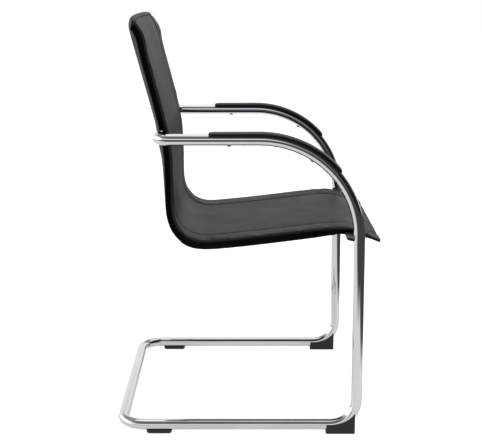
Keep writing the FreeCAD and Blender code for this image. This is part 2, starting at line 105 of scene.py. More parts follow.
def ringStack(rings, heldPlaces=()):
    # a filled circle is extruded once for every ring after the first, and its points are put on
    # the rings; also returns the points on the held places and on the two end rings
    deselectAll()
    count = len(rings[0])
    bpy.ops.mesh.primitive_circle_add(
        vertices=count, radius=1.0, fill_type="NGON", location=(0, 0, 0))
    piece = bpy.context.active_object
    bpy.ops.object.mode_set(mode="EDIT")
    bpy.ops.mesh.select_all(action="SELECT")
    for _ in rings[1:]:
        bpy.ops.mesh.extrude_region_move(TRANSFORM_OT_translate={"value": (0, 0, 1)})
    bpy.ops.object.mode_set(mode="OBJECT")
    held = []
    for vertex in piece.data.vertices:
        ring = int(round(vertex.co.z))
        turn = math.atan2(vertex.co.y, vertex.co.x) / (2 * math.pi)
        place = int(round(turn * count)) % count
        vertex.co = rings[ring][place]
        if place in heldPlaces or ring in (0, len(rings) - 1):
            held.append(vertex.index)
    return piece, held


def refine(piece):
    # one subdivision with the end caps taken off first and closed again after it
    pickOnly(piece)
    bpy.ops.object.mode_set(mode="EDIT")
    bpy.ops.mesh.select_all(action="DESELECT")
    bpy.ops.mesh.select_face_by_sides(number=4, type="GREATER")
    bpy.ops.mesh.delete(type="ONLY_FACE")
    bpy.ops.object.mode_set(mode="OBJECT")
    fine = piece.modifiers.new("fine", "SUBSURF")
    fine.levels = 1
    fine.render_levels = 1
    applyModifiers(piece)
    bpy.ops.object.mode_set(mode="EDIT")
    bpy.ops.mesh.select_all(action="SELECT")
    bpy.ops.mesh.fill_holes(sides=0)
    bpy.ops.object.mode_set(mode="OBJECT")


# Side-view curves
def splineThrough(points, step=2.0):
    # a natural cubic curve through the points, sampled about every step millimetres
    count = len(points)
    chord = [0.0]
    for a, b in zip(points, points[1:]):
        chord.append(chord[-1] + math.dist(a, b))
    slopes = []
    for axis in range(2):
        lower = [0.0] * count
        middle = [2.0] * count
        upper = [0.0] * count
        right = [0.0] * count
        upper[0] = 1.0
        right[0] = 3.0 * (points[1][axis] - points[0][axis]) / (chord[1] - chord[0])
        lower[-1] = 1.0
        right[-1] = 3.0 * (points[-1][axis] - points[-2][axis]) / (chord[-1] - chord[-2])
        for i in range(1, count - 1):
            before = chord[i] - chord[i - 1]
            after = chord[i + 1] - chord[i]
            lower[i] = after
            middle[i] = 2.0 * (before + after)
            upper[i] = before
            rise = (points[i + 1][axis] - points[i][axis]) / after * before
            fall = (points[i][axis] - points[i - 1][axis]) / before * after
            right[i] = 3.0 * (rise + fall)
        for i in range(1, count):
            factor = lower[i] / middle[i - 1]
            middle[i] -= factor * upper[i - 1]
            right[i] -= factor * right[i - 1]
        slope = [0.0] * count
        slope[-1] = right[-1] / middle[-1]
        for i in range(count - 2, -1, -1):
            slope[i] = (right[i] - upper[i] * slope[i + 1]) / middle[i]
        slopes.append(slope)
    samples = []
    for i in range(count - 1):
        span = chord[i + 1] - chord[i]
        parts = max(2, int(math.ceil(span / step)))
        for k in range(parts + (1 if i == count - 2 else 0)):
            t = k / parts
            value = []
            for axis in range(2):
                near = (2 * t ** 3 - 3 * t ** 2 + 1) * points[i][axis]
                near += (t ** 3 - 2 * t ** 2 + t) * slopes[axis][i] * span
                far = (3 * t ** 2 - 2 * t ** 3) * points[i + 1][axis]
                far += (t ** 3 - t ** 2) * slopes[axis][i + 1] * span
                value.append(near + far)
            samples.append(tuple(value))
    return samples


class SideCurve:
    # a side-view curve that gives the point and the inward direction at a length along it
    def __init__(self, points):
        self.points = splineThrough(points)
        self.run = [0.0]
        for a, b in zip(self.points, self.points[1:]):
            self.run.append(self.run[-1] + math.dist(a, b))
        self.length = self.run[-1]

    def at(self, s):
        s = min(max(s, 0.0), self.length)
        low = 0
        high = len(self.run) - 1
        while high - low > 1:
            mid = (low + high) // 2
            if self.run[mid] <= s:
                low = mid
            else:
                high = mid
        t = (s - self.run[low]) / (self.run[high] - self.run[low])
        a = self.points[low]
        b = self.points[high]
        return a[0] + (b[0] - a[0]) * t, a[1] + (b[1] - a[1]) * t

    def inward(self, s, reach=4.0):
        # square to the curve, as it runs over reach millimetres each way
        x0, z0 = self.at(s - reach)
        x1, z1 = self.at(s + reach)
        length = math.hypot(x1 - x0, z1 - z0)
        return (z1 - z0) / length, -(x1 - x0) / length

    def below(self, s, depth):
        x, z = self.at(s)
        nx, nz = self.inward(s)
        return x + nx * depth, z + nz * depth

    def place(self, s, y, depth):
        x, z = self.below(s, depth)
        return point(x, y, z)

    def atHeight(self, height):
        for s, (x, z) in zip(self.run, self.points):
            if z <= height:
                return s
        return self.length

    def atFront(self, x):
        for s, (px, pz) in zip(self.run, self.points):
            if s > self.length * 0.5 and px >= x:
                return s
        return self.length


# Shell: the side profile and widths of the solids, with a rounder top at the rear
shell = {
    "halfWidth": 222.0,
    "seamHalfWidth": 165.0,
    "padDepth": 5.9,
    "recessY": 213.2,
    "padTopHeight": 892.7,
    "coverSplitHeight": 436.5,
    "seatFrontX": 243.0,
    "facePoints": [
        (-237.0, 895.5), (-221.5, 872.5), (-211.5, 836.5), (-195.5, 771.5), (-174.5, 686.5),
        (-163.5, 624.5), (-160.5, 571.5), (-160.0, 516.5), (-156.0, 470.5), (-142.0, 444.0),
        (-112.0, 426.5), (-70.0, 425.5), (27.0, 435.3), (114.0, 446.0), (175.0, 452.5),
        (212.0, 453.0), (243.0, 445.7), (268.0, 434.7), (290.4, 424.3),
    ],
    "rearPoints": [
        (-237.0, 895.9), (-237.7, 898.6), (-241.2, 900.4), (-245.9, 898.9), (-249.2, 893.2),
        (-250.8, 883.5), (-249.0, 868.5), (-240.0, 831.5), (-224.0, 771.5), (-204.0, 696.5),
        (-198.5, 673.5), (-192.5, 630.5), (-188.0, 608.5), (-183.5, 562.5), (-181.0, 516.5),
        (-177.5, 476.5), (-167.0, 438.5), (-147.0, 412.5),
    ],
    "underPoints": [
        (-145.9, 413.2), (-126.0, 403.8), (-104.0, 399.7), (-60.0, 400.8), (27.0, 410.0),
        (114.0, 421.0), (175.0, 430.0), (212.0, 434.5), (250.0, 426.3), (272.0, 420.7),
        (286.4, 417.5),
    ],
}
face = SideCurve(shell["facePoints"])
padTop = face.atHeight(shell["padTopHeight"])
coverSplit = face.atHeight(shell["coverSplitHeight"])
seatFront = face.atFront(shell["seatFrontX"])
print("side profile ready", round(face.length, 1), "mm long")


# Materials
noiseMiddle = (0.35, 0.65)  # the values between which a noise goes from one colour to the other
noiseWide = (0.3, 0.7)  # the same for its roughness


def newMaterial(name):
    material = bpy.data.materials.new(name)
    material.use_nodes = True
    nodes = material.node_tree.nodes
    nodes.clear()
    output = nodes.new("ShaderNodeOutputMaterial")
    shader = nodes.new("ShaderNodeBsdfPrincipled")
    material.node_tree.links.new(shader.outputs["BSDF"], output.inputs["Surface"])
    return material, nodes, material.node_tree.links, shader


def addNode(nodes, kind, **values):
    node = nodes.new(kind)
    for key, value in values.items():
        if key in node.inputs:
            node.inputs[key].default_value = value
        else:
            setattr(node, key, value)
    return node


def addRange(nodes, links, source, low, high, toLow, toHigh):
    node = addNode(nodes, "ShaderNodeMapRange")
    node.inputs["From Min"].default_value = low
    node.inputs["From Max"].default_value = high
    node.inputs["To Min"].default_value = toLow
    node.inputs["To Max"].default_value = toHigh
    links.new(source, node.inputs["Value"])
    return node.outputs["Result"]


def mixColour(nodes, links, factor, first, second):
    node = addNode(nodes, "ShaderNodeMix", data_type="RGBA")
    for name, value in (("A", first), ("B", second)):
        socket = [s for s in node.inputs if s.name == name and s.type == "RGBA"][0]
        if hasattr(value, "links"):
            links.new(value, socket)
        else:
            socket.default_value = value
    links.new(factor, node.inputs["Factor"])
    return [s for s in node.outputs if s.type == "RGBA"][0]


grainShape = {
    "warpScale": 220.0,
    "warpAmount": 0.0012,
    "creaseWidth": 0.2,
    "patchScale": 11.0,
    "patchDetail": 5.0,
    "patchRoughness": 0.62,
}


def buildPressedGrain():
    # pressed leather grain: soft cells between creases, and broad patches of wear
    group = bpy.data.node_groups.new("pressedGrain", "ShaderNodeTree")
    group.interface.new_socket(name="Vector", in_out="INPUT", socket_type="NodeSocketVector")
    group.interface.new_socket(name="Cell Scale", in_out="INPUT", socket_type="NodeSocketFloat")
    group.interface.new_socket(name="Height", in_out="OUTPUT", socket_type="NodeSocketFloat")
    group.interface.new_socket(name="Patches", in_out="OUTPUT", socket_type="NodeSocketFloat")
    nodes = group.nodes
    links = group.links
    start = nodes.new("NodeGroupInput")
    end = nodes.new("NodeGroupOutput")
    warp = addNode(nodes, "ShaderNodeTexNoise", Scale=grainShape["warpScale"], Detail=2.0)
    links.new(start.outputs["Vector"], warp.inputs["Vector"])
    shift = addNode(nodes, "ShaderNodeVectorMath", operation="MULTIPLY_ADD")
    shift.inputs[1].default_value = (grainShape["warpAmount"],) * 3
    links.new(warp.outputs["Color"], shift.inputs[0])
    links.new(start.outputs["Vector"], shift.inputs[2])
    cells = addNode(nodes, "ShaderNodeTexVoronoi", feature="DISTANCE_TO_EDGE")
    links.new(shift.outputs[0], cells.inputs["Vector"])
    links.new(start.outputs["Cell Scale"], cells.inputs["Scale"])
    distance = cells.outputs["Distance"]
    crease = addRange(nodes, links, distance, 0.0, grainShape["creaseWidth"], 0.0, 1.0)
    broad = addNode(
        nodes, "ShaderNodeTexNoise", Scale=grainShape["patchScale"],
        Detail=grainShape["patchDetail"], Roughness=grainShape["patchRoughness"])
    links.new(start.outputs["Vector"], broad.inputs["Vector"])
    links.new(crease, end.inputs["Height"])
    links.new(broad.outputs["Fac"], end.inputs["Patches"])
    return group


pressedGrain = buildPressedGrain()

leatheretteLook = {
    "cellScale": 900.0,
    "darkColour": (0.0185, 0.0170, 0.0270, 1.0),
    "lightColour": (0.0290, 0.0268, 0.0400, 1.0),
    "roughLow": 0.46,
    "roughHigh": 0.58,
    "bump": 0.30,
    "bumpDepth": 0.0004,
    "specular": 0.27,
    "specularTint": (0.94, 0.93, 1.0, 1.0),
}


def leatheretteMaterial(name, look):
    material, nodes, links, shader = newMaterial(name)
    place = nodes.new("ShaderNodeTexCoord")
    grain = addNode(nodes, "ShaderNodeGroup", node_tree=pressedGrain)
    grain.inputs["Cell Scale"].default_value = look["cellScale"]
    links.new(place.outputs["Object"], grain.inputs["Vector"])
    wear = grain.outputs["Patches"]
    patches = addRange(nodes, links, wear, *noiseMiddle, 0.0, 1.0)
    colour = mixColour(nodes, links, patches, look["darkColour"], look["lightColour"])
    links.new(colour, shader.inputs["Base Color"])
    rough = addRange(nodes, links, wear, *noiseWide, look["roughLow"], look["roughHigh"])
    links.new(rough, shader.inputs["Roughness"])
    bump = addNode(nodes, "ShaderNodeBump", Strength=look["bump"], Distance=look["bumpDepth"])
    links.new(grain.outputs["Height"], bump.inputs["Height"])
    links.new(bump.outputs["Normal"], shader.inputs["Normal"])
    shader.inputs["Specular IOR Level"].default_value = look["specular"]
    shader.inputs["Specular Tint"].default_value = look["specularTint"]
    return material


plainBumpDepth = 0.0003


def plainMaterial(name, look):
    # moulded, painted, plated or woven: a colour that varies a little, a roughness and, where the
    # look gives one, a fine bump
    material, nodes, links, shader = newMaterial(name)
    place = nodes.new("ShaderNodeTexCoord")
    broad = addNode(nodes, "ShaderNodeTexNoise", Scale=look["patchScale"], Detail=3.0)
    links.new(place.outputs["Object"], broad.inputs["Vector"])
    patches = addRange(nodes, links, broad.outputs["Fac"], *noiseMiddle, 0.0, 1.0)
    colour = mixColour(nodes, links, patches, look["darkColour"], look["lightColour"])
    links.new(colour, shader.inputs["Base Color"])
    fine = addNode(nodes, "ShaderNodeTexNoise", Scale=look["fineScale"], Detail=2.0)
    links.new(place.outputs["Object"], fine.inputs["Vector"])
    speckle = fine.outputs["Fac"]
    rough = addRange(nodes, links, speckle, *noiseWide, look["roughLow"], look["roughHigh"])
    links.new(rough, shader.inputs["Roughness"])
    if look["bump"] > 0:
        bump = addNode(nodes, "ShaderNodeBump", Strength=look["bump"], Distance=plainBumpDepth)
        links.new(speckle, bump.inputs["Height"])
        links.new(bump.outputs["Normal"], shader.inputs["Normal"])
    shader.inputs["Metallic"].default_value = look.get("metallic", 0.0)
    shader.inputs["Specular IOR Level"].default_value = look.get("specular", 0.5)
    return material


chromeLook = {
    "darkColour": (0.66, 0.67, 0.69, 1.0), "lightColour": (0.72, 0.725, 0.74, 1.0),
    "patchScale": 6.0, "fineScale": 45.0, "roughLow": 0.03, "roughHigh": 0.055,
    "bump": 0.0, "metallic": 1.0,
}
padLook = {
    "darkColour": (0.004, 0.004, 0.0045, 1.0), "lightColour": (0.007, 0.007, 0.0075, 1.0),
    "patchScale": 20.0, "fineScale": 1800.0, "roughLow": 0.30, "roughHigh": 0.42,
    "bump": 0.12, "specular": 0.25,
}
footLook = {
    "darkColour": (0.018, 0.018, 0.019, 1.0), "lightColour": (0.026, 0.026, 0.027, 1.0),
    "patchScale": 30.0, "fineScale": 1400.0, "roughLow": 0.5, "roughHigh": 0.65,
    "bump": 0.2,
}
blackSteelLook = {
    "darkColour": (0.010, 0.010, 0.011, 1.0), "lightColour": (0.016, 0.016, 0.017, 1.0),
    "patchScale": 25.0, "fineScale": 900.0, "roughLow": 0.35, "roughHigh": 0.5,
    "bump": 0.1,
}
zincLook = {
    "darkColour": (0.55, 0.56, 0.58, 1.0), "lightColour": (0.66, 0.67, 0.68, 1.0),
    "patchScale": 120.0, "fineScale": 1500.0, "roughLow": 0.2, "roughHigh": 0.35,
    "bump": 0.08, "metallic": 1.0,
}
gussetLook = {
    "darkColour": (0.003, 0.003, 0.0034, 1.0), "lightColour": (0.006, 0.006, 0.0066, 1.0),
    "patchScale": 40.0, "fineScale": 2600.0, "roughLow": 0.8, "roughHigh": 0.95,
    "bump": 0.4, "specular": 0.2,
}
threadLook = {
    "darkColour": (0.012, 0.012, 0.013, 1.0), "lightColour": (0.022, 0.022, 0.024, 1.0),
    "patchScale": 300.0, "fineScale": 4000.0, "roughLow": 0.5, "roughHigh": 0.7,
    "bump": 0.3,
}
leatherette = leatheretteMaterial("blackLeatherette", leatheretteLook)
chrome = plainMaterial("polishedChrome", chromeLook)
padPlastic = plainMaterial("blackArmPad", padLook)
footPlastic = plainMaterial("darkFootPlastic", footLook)
blackSteel = plainMaterial("blackPaintedSteel", blackSteelLook)
zincSteel = plainMaterial("zincPlatedSteel", zincLook)
gussetCloth = plainMaterial("blackGussetCloth", gussetLook)
seamThread = plainMaterial("blackSeamThread", threadLook)

slotMaterials = {
    "chrome": chrome,
    "black_steel": blackSteel,
    "zinc_steel": zincSteel,
    "pad_plastic": padPlastic,
    "foot_plastic": footPlastic,
    "leatherette": leatherette,
    "black_fabric": gussetCloth,
}
for entry in frame["record"]["subparts"]:
    node = bpy.data.objects[entry["node"]]
    for slot in node.material_slots:
        slot.material = slotMaterials[entry["material_slot"]]
print("materials ready")


# Tube frame: a ring extruded along the straights and spun round the bends
tube = {
    "radius": 12.0,
    "wall": 1.8,
    "halfWidth": 275.0,
    "baseRearX": -278.5,
    "runnerHeight": 17.8,
    "legBottomX": 240.6,
    "legTopX": 236.1,
    "armHeight": 652.0,
    "armRearX": -188.5,
    "armEndY": 225.0,
    "bends": [50.0, 58.0, 213.0, 24.0],
    "middleGap": 0.15,
    "ringPoints": 48,
    "degreesPerStep": 3.0,
    "leastSteps": 8,
    "mergeDistance": 0.02,
}


def tubeCorners(sign):
    y = sign * tube["halfWidth"]
    return [
        Vector((tube["baseRearX"], sign * tube["middleGap"], tube["runnerHeight"])),
        Vector((tube["baseRearX"], y, tube["runnerHeight"])),
        Vector((tube["legBottomX"], y, tube["runnerHeight"])),
        Vector((tube["legTopX"], y, tube["armHeight"])),
        Vector((tube["armRearX"], y, tube["armHeight"])),
        Vector((tube["armRearX"], sign * tube["armEndY"], tube["armHeight"])),
    ]


def extrudeBy(shift):
    bpy.ops.mesh.extrude_region_move(TRANSFORM_OT_translate={"value": tuple(shift * mm)})


def bentTube(side):
    sign = sides[side]
    corners = tubeCorners(sign)
    deselectAll()
    bpy.ops.mesh.primitive_circle_add(
        vertices=tube["ringPoints"], radius=tube["radius"] * mm,
        location=corners[0] * mm, rotation=(math.pi / 2, 0, 0))
    piece = bpy.context.active_object
    bpy.ops.object.transform_apply(location=True, rotation=True, scale=True)
    bpy.ops.object.mode_set(mode="EDIT")
    bpy.ops.mesh.select_all(action="SELECT")
    here = corners[0]
    for i in range(1, len(corners) - 1):
        ahead = (corners[i] - corners[i - 1]).normalized()
        after = (corners[i + 1] - corners[i]).normalized()
        turn = ahead.angle(after)
        bend = tube["bends"][i - 1]
        reach = bend * math.tan(turn / 2)
        first = corners[i] - ahead * reach
        extrudeBy(first - here)
        axis = ahead.cross(after).normalized()
        centre = first + axis.cross(ahead) * bend
        steps = max(tube["leastSteps"], int(math.degrees(turn) / tube["degreesPerStep"]))
        # spin turns the other way round its axis, so the angle is below 0
        bpy.ops.mesh.spin(
            steps=steps, angle=-turn, center=tuple(centre * mm), axis=tuple(axis),
            use_auto_merge=False)
        here = corners[i] + after * reach
    extrudeBy(corners[-1] - here)
    bpy.ops.object.mode_set(mode="OBJECT")
    ring = [v.co for v in piece.data.vertices if v.select]
    middle = sum(ring, Vector()) / len(ring)
    off = (middle - corners[-1] * mm).length
    print("tube", side, "ends", round(off * 1000, 3), "mm from its mark")
    bpy.ops.object.mode_set(mode="EDIT")
    bpy.ops.mesh.select_all(action="SELECT")
    bpy.ops.mesh.remove_doubles(threshold=tube["mergeDistance"] * mm)
    bpy.ops.mesh.normals_make_consistent(inside=False)
    bpy.ops.object.mode_set(mode="OBJECT")
    wall = piece.modifiers.new("wall", "SOLIDIFY")
    wall.thickness = tube["wall"] * mm
    wall.offset = -1.0
    applyModifiers(piece)
    finishPiece(piece, "bentTube_" + side, chrome, angle=30.0)
    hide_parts("frame_" + side)
    return piece


for side in sides:
    bentTube(side)
print("tube frame ready")


# The top edge of the back rises to its middle and falls away at its corners
crown = {
    "rise": 5.5,
    "cornerDrop": 4.0,
    "cornerFrom": 186.0,
    "fade": 85.0,
    "directionAt": 8.0,
}


def crownShift(y, fromTop):
    across = abs(y) / shell["halfWidth"]
    cornerWidth = shell["halfWidth"] - crown["cornerFrom"]
    corner = max(0.0, (abs(y) - crown["cornerFrom"]) / cornerWidth)
    lift = crown["rise"] * (1 - across ** 3) - crown["cornerDrop"] * corner ** 2
    return lift * (1 - smoothStep(fromTop / crown["fade"]))


def liftTop(place, y, fromTop):
    # moves a point up the back by the crown's amount
    shift = crownShift(y, fromTop) * mm
    nx, nz = face.inward(crown["directionAt"])
    return place + Vector((nz * shift, 0.0, -nx * shift))


# Padded panels on the front of the shell
panel = {
    "rowStep": 6.0,
    "seamGap": 0.3,
    "centreDepth": 1.2,
    "centreSlope": (0.7, 30.0),
    "centreSeam": (2.6, 3.2),
    "centreFrontSteps": 56,
    "centreBackSteps": 24,
    "borderDepth": 0.1,
    "borderSeam": (4.3, 3.4),
    "borderSlope": (0.5, 6.0),
    "borderRound": (0.7, 1.2),
    "borderFrontSteps": 18,
    "borderBackSteps": 8,
    "borderFrontEnd": 0.9,
    "borderEdge": [(221.75, 1.9), (222.0, 2.9), (222.0, 4.4), (221.3, 5.5)],
    "borderBackStart": 216.5,
    "heldFirst": 3,
    "heldLast": 6,
    "clothQuality": 5,
    "clothMass": 0.25,
    "stretchStiffness": 12.0,
    "shearStiffness": 4.0,
    "bendingStiffness": 0.6,
    "pressure": 2.0,
    "frames": 16,
    "slack": -0.012,
    "moveLimit": 1.3,
}


def spread(start, end, steps, ease=0.0):
    # values from start to end, closer together near both ends when ease is above 0
    values = []
    for i in range(steps + 1):
        t = i / steps
        eased = t - ease * math.sin(2 * math.pi * t) / (2 * math.pi)
        values.append(start + (end - start) * eased)
    return values


def fading(distance, depthAndReach):
    depth, reach = depthAndReach
    return depth * math.exp(-distance / reach)


def centreDepth(y):
    fromSeam = shell["seamHalfWidth"] - panel["seamGap"] - abs(y)
    slope = fading(fromSeam, panel["centreSlope"])
    return panel["centreDepth"] + slope + fading(fromSeam, panel["centreSeam"])


def centreSection():
    seam = shell["seamHalfWidth"] - panel["seamGap"]
    front = [(y, centreDepth(y)) for y in spread(-seam, seam, panel["centreFrontSteps"], 0.85)]
    back = [(y, shell["padDepth"]) for y in spread(seam, -seam, panel["centreBackSteps"])]
    return front, back


def borderDepth(fromSeam):
    width = shell["halfWidth"] - shell["seamHalfWidth"]
    fromEdge = width - fromSeam
    depth = panel["borderDepth"] + fading(fromSeam, panel["borderSeam"])
    return depth + fading(fromEdge, panel["borderSlope"]) + fading(fromEdge, panel["borderRound"])


def borderSection(sign):
    width = shell["halfWidth"] - shell["seamHalfWidth"]
    seam = shell["seamHalfWidth"] + panel["seamGap"]
    steps = spread(0.0, width - panel["borderFrontEnd"], panel["borderFrontSteps"], 0.8)
    front = [(seam + f, borderDepth(f)) for f in steps] + panel["borderEdge"]
    steps = spread(panel["borderBackStart"], seam, panel["borderBackSteps"])
    back = [(y, shell["padDepth"]) for y in steps]
    return [(sign * y, depth) for y, depth in front], [(sign * y, depth) for y, depth in back]


def puff(piece, held, look):
    # a short cloth run under pressure: the held points at the seams, ends and back stay, and
    # the others move no further than the limit
    before = [vertex.co.copy() for vertex in piece.data.vertices]
    group = piece.vertex_groups.new(name="sewn")
    group.add(held, 1.0, "ADD")
    cloth = piece.modifiers.new("cloth", "CLOTH")
    settings = cloth.settings
    settings.quality = look["clothQuality"]
    settings.mass = look["clothMass"]
    settings.tension_stiffness = look["stretchStiffness"]
    settings.compression_stiffness = look["stretchStiffness"]
    settings.shear_stiffness = look["shearStiffness"]
    settings.bending_stiffness = look["bendingStiffness"]
    settings.vertex_group_mass = "sewn"
    settings.pin_stiffness = 1.0
    settings.use_pressure = True
    settings.uniform_pressure_force = look["pressure"]
    settings.shrink_min = look["slack"]
    settings.effector_weights.gravity = 0.0
    cloth.collision_settings.use_collision = False
    cloth.point_cache.frame_start = 1
    cloth.point_cache.frame_end = look["frames"]
    for number in range(1, look["frames"] + 1):
        scene.frame_set(number)
    applyModifiers(piece)
    limit = look["moveLimit"] * mm
    for vertex, start in zip(piece.data.vertices, before):
        shift = vertex.co - start
        if shift.length > limit:
            vertex.co = start + shift * (limit / shift.length)
    piece.vertex_groups.clear()
    scene.frame_set(1)


def makePanel(name, node, front, back):
    ring = front + back
    count = int((face.length - padTop) / panel["rowStep"])
    rows = []
    for i in range(count + 1):
        s = padTop + (face.length - padTop) * i / count
        rows.append([liftTop(face.place(s, y, depth), y, s - padTop) for y, depth in ring])
    heldPlaces = {*range(panel["heldFirst"]), *range(len(front) - panel["heldLast"], len(ring))}
    piece, held = ringStack(rows, heldPlaces)
    puff(piece, held, panel)
    refine(piece)
    finishPiece(piece, name, leatherette, angle=60.0)
    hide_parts(node)
    return piece


makePanel("centrePanel", "centre_panel", *centreSection())
for side in sides:
    makePanel("sideBorder_" + side, "side_border_" + side, *borderSection(sides[side]))
print("front panels ready")


# Covers behind the back and under the seat: side outlines carried across the chair
cover = {
    "sideY": 222.0,
    "rollWidth": 24.0,
    "rollSteps": 10,
    "rollRoundness": 0.08,
    "nearDepth": 15.8,
    "edgeDepth": 18.0,
    "rollFirst": 0.3,
    "innerHalfWidth": 195.0,
    "innerSteps": 32,
    "recessTolerance": 0.2,
    "outlineStep": 4.0,
    "frontStep": 6.0,
    "splitGap": 0.25,
    "rootShare": 0.97,
    "capBottom": 893.3,
    "capCentreAt": 14.0,
    "capLength": 34.0,
    "capLeast": 3.0,
    "capFrom": 4.0,
    "capOver": 30.0,
    "crownBottom": 893.0,
    "frontLip": 0.3,
    "rearSag": 1.4,
    "sagOver": 20.0,
    "sagPower": 6,
    "bandRearX": -176.0,
    "bandRearLength": 60.0,
    "bandFrontX": 176.0,
    "bandFrontLength": 26.0,
    "seatEdge": 4.2,
    "seatEdgeFrontX": 190.0,
    "seatEdgeLeast": 2.5,
    "seatRollLargest": 9.0,
    "seatRollGap": 0.3,
    "lipDepth": 6.2,
    "lipBefore": 3,
    "lipOver": 6.0,
    "lipLeast": 0.8,
}
rearCurve = SideCurve(shell["rearPoints"])
underCurve = SideCurve(shell["underPoints"])


def crossing(s, curve, leastDepth=5.0):
    # the depth at which the inward line from the face meets a curve, or None beyond its ends
    x, z = face.at(s)
    nx, nz = face.inward(s)
    best = None
    for (ax, az), (bx, bz) in zip(curve.points, curve.points[1:]):
        dx = bx - ax
        dz = bz - az
        slant = nx * dz - nz * dx
        if abs(slant) < 1e-9:
            continue
        depth = ((ax - x) * dz - (az - z) * dx) / slant
        along = ((x + nx * depth - ax) * dx + (z + nz * depth - az) * dz) / (dx * dx + dz * dz)
        inReach = -0.001 <= along <= 1.001 and depth > leastDepth
        if inReach and (best is None or depth < best):
            best = depth
    return best


def evenly(start, end, step):
    count = max(2, int(round((end - start) / step)))
    return [start + (end - start) * i / count for i in range(count + 1)]


def nearestOnFace(x, z):
    # the length along the face of the sample nearest to a point
    best = min(range(len(face.points)), key=lambda i: math.dist(face.points[i], (x, z)))
    return face.run[best]


def towards(a, b, share):
    return a[0] + (b[0] - a[0]) * share, a[1] + (b[1] - a[1]) * share


def backOutline():
    # outer points from the cap down the rear, each with the point it rolls in to at the side
    capCentre = face.below(cover["capCentreAt"], cover["edgeDepth"])
    outer = []
    roots = []
    for length in evenly(0.0, rearCurve.length, cover["outlineStep"]):
        place = rearCurve.at(length)
        if length < cover["capLength"]:
            reach = math.dist(place, capCentre)
            part = smoothStep((length - cover["capFrom"]) / cover["capOver"])
            share = (cover["capLeast"] + (reach - cover["capLeast"]) * part) / reach
            root = towards(place, capCentre, min(share, cover["rootShare"]))
        else:
            side = face.below(nearestOnFace(*place), cover["edgeDepth"])
            root = towards(place, side, cover["rootShare"])
        outer.append(place)
        roots.append(root)
    return outer, roots


def stationsAcross():
    # distances from the middle plane: close together round the rolled edge, wide apart between
    # each has the share of the cover's full depth that it reaches
    half = []
    for k in range(cover["rollSteps"]):
        t = (k + cover["rollFirst"]) / (cover["rollSteps"] - 1 + cover["rollFirst"])
        rounded = math.sqrt(1 - (1 - t) ** 2)
        share = t + (rounded - t) * cover["rollRoundness"]
        half.append((cover["sideY"] - cover["rollWidth"] * t, share))
    inner = spread(cover["innerHalfWidth"], -cover["innerHalfWidth"], cover["innerSteps"])
    inner = [(y, 1.0) for y in inner]
    return half + inner + [(-y, f) for y, f in reversed(half)]


def finishCover(piece, name, node):
    refine(piece)
    finishPiece(piece, name, leatherette, angle=50.0)
    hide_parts(node)
    return piece


def makeBackCover():
    outer, roots = backOutline()
    top = face.atHeight(cover["capBottom"])
    down = evenly(top, coverSplit - cover["splitGap"], cover["frontStep"])
    rings = []
    for y, share in stationsAcross():
        atSide = abs(y) > shell["recessY"] - cover["recessTolerance"]
        near = cover["edgeDepth"] if atSide else cover["nearDepth"]
        sag = cover["rearSag"] * (abs(y) / cover["sideY"]) ** cover["sagPower"]
        ring = []
        for place, root in zip(outer, roots):
            x, z = towards(root, place, share)
            x, z = towards((x, z), root, sag / cover["sagOver"])
            ring.append(liftTop(point(x, y, z), y, max(0.0, cover["crownBottom"] - z)))
        for s in reversed(down):
            ring.append(liftTop(face.place(s, y, near), y, s - top))
        ring.append(liftTop(face.place(top, y, near * 0.5), y, 0.0))
        ring.append(liftTop(face.place(top, y, cover["frontLip"]), y, 0.0))
        rings.append(ring)
    return finishCover(ringStack(rings)[0], "backCover", "back_cover")


def seatBand(x):
    # how far the cover's side is drawn down to a narrow band: 1 along the seat, 0 at both ends
    rise = smoothStep((x - cover["bandRearX"]) / cover["bandRearLength"])
    front = smoothStep((x - cover["bandFrontX"]) / cover["bandFrontLength"])
    return rise * (1 - front)


def seatDepths(stations):
    # depth of the underside at each station; past the curve's ends the last known one goes on
    depths = [crossing(s, underCurve) for s in stations]
    known = [i for i, d in enumerate(depths) if d is not None]
    for i in range(len(depths)):
        if depths[i] is None:
            depths[i] = depths[known[0]] if i < known[0] else depths[known[-1]]
    return depths


def seatNearDepth(s, far, atSide):
    # depth of the cover's upper surface, thinner at the lip and drawn down along the sides
    x = face.at(s)[0]
    lip = 1 - smoothStep((s - seatFront + cover["lipBefore"]) / cover["lipOver"])
    depth = cover["lipDepth"] + (cover["nearDepth"] - cover["lipDepth"]) * lip
    depth = min(depth, far - cover["lipLeast"])
    if atSide:
        if x < cover["seatEdgeFrontX"]:
            depth = max(depth, min(cover["edgeDepth"], far - cover["seatEdgeLeast"]))
        deep = far - cover["seatEdge"]
        if deep > depth:
            depth = depth + (deep - depth) * seatBand(x)
    return depth


def makeSeatCover():
    stations = evenly(coverSplit + cover["splitGap"], face.length, cover["outlineStep"])
    depths = seatDepths(stations)
    rings = []
    for y, share in stationsAcross():
        atSide = abs(y) > shell["recessY"] - cover["recessTolerance"]
        ring = []
        near = []
        for s, far in zip(stations, depths):
            depth = seatNearDepth(s, far, atSide)
            near.append(depth)
            roll = min(far - depth - cover["seatRollGap"], cover["seatRollLargest"])
            ring.append(face.place(s, y, far - roll * (1 - share)))
        for s, depth in zip(reversed(stations), reversed(near)):
            ring.append(face.place(s, y, depth))
        rings.append(ring)
    return finishCover(ringStack(rings)[0], "seatCover", "seat_cover")


makeBackCover()
makeSeatCover()
print("covers ready")


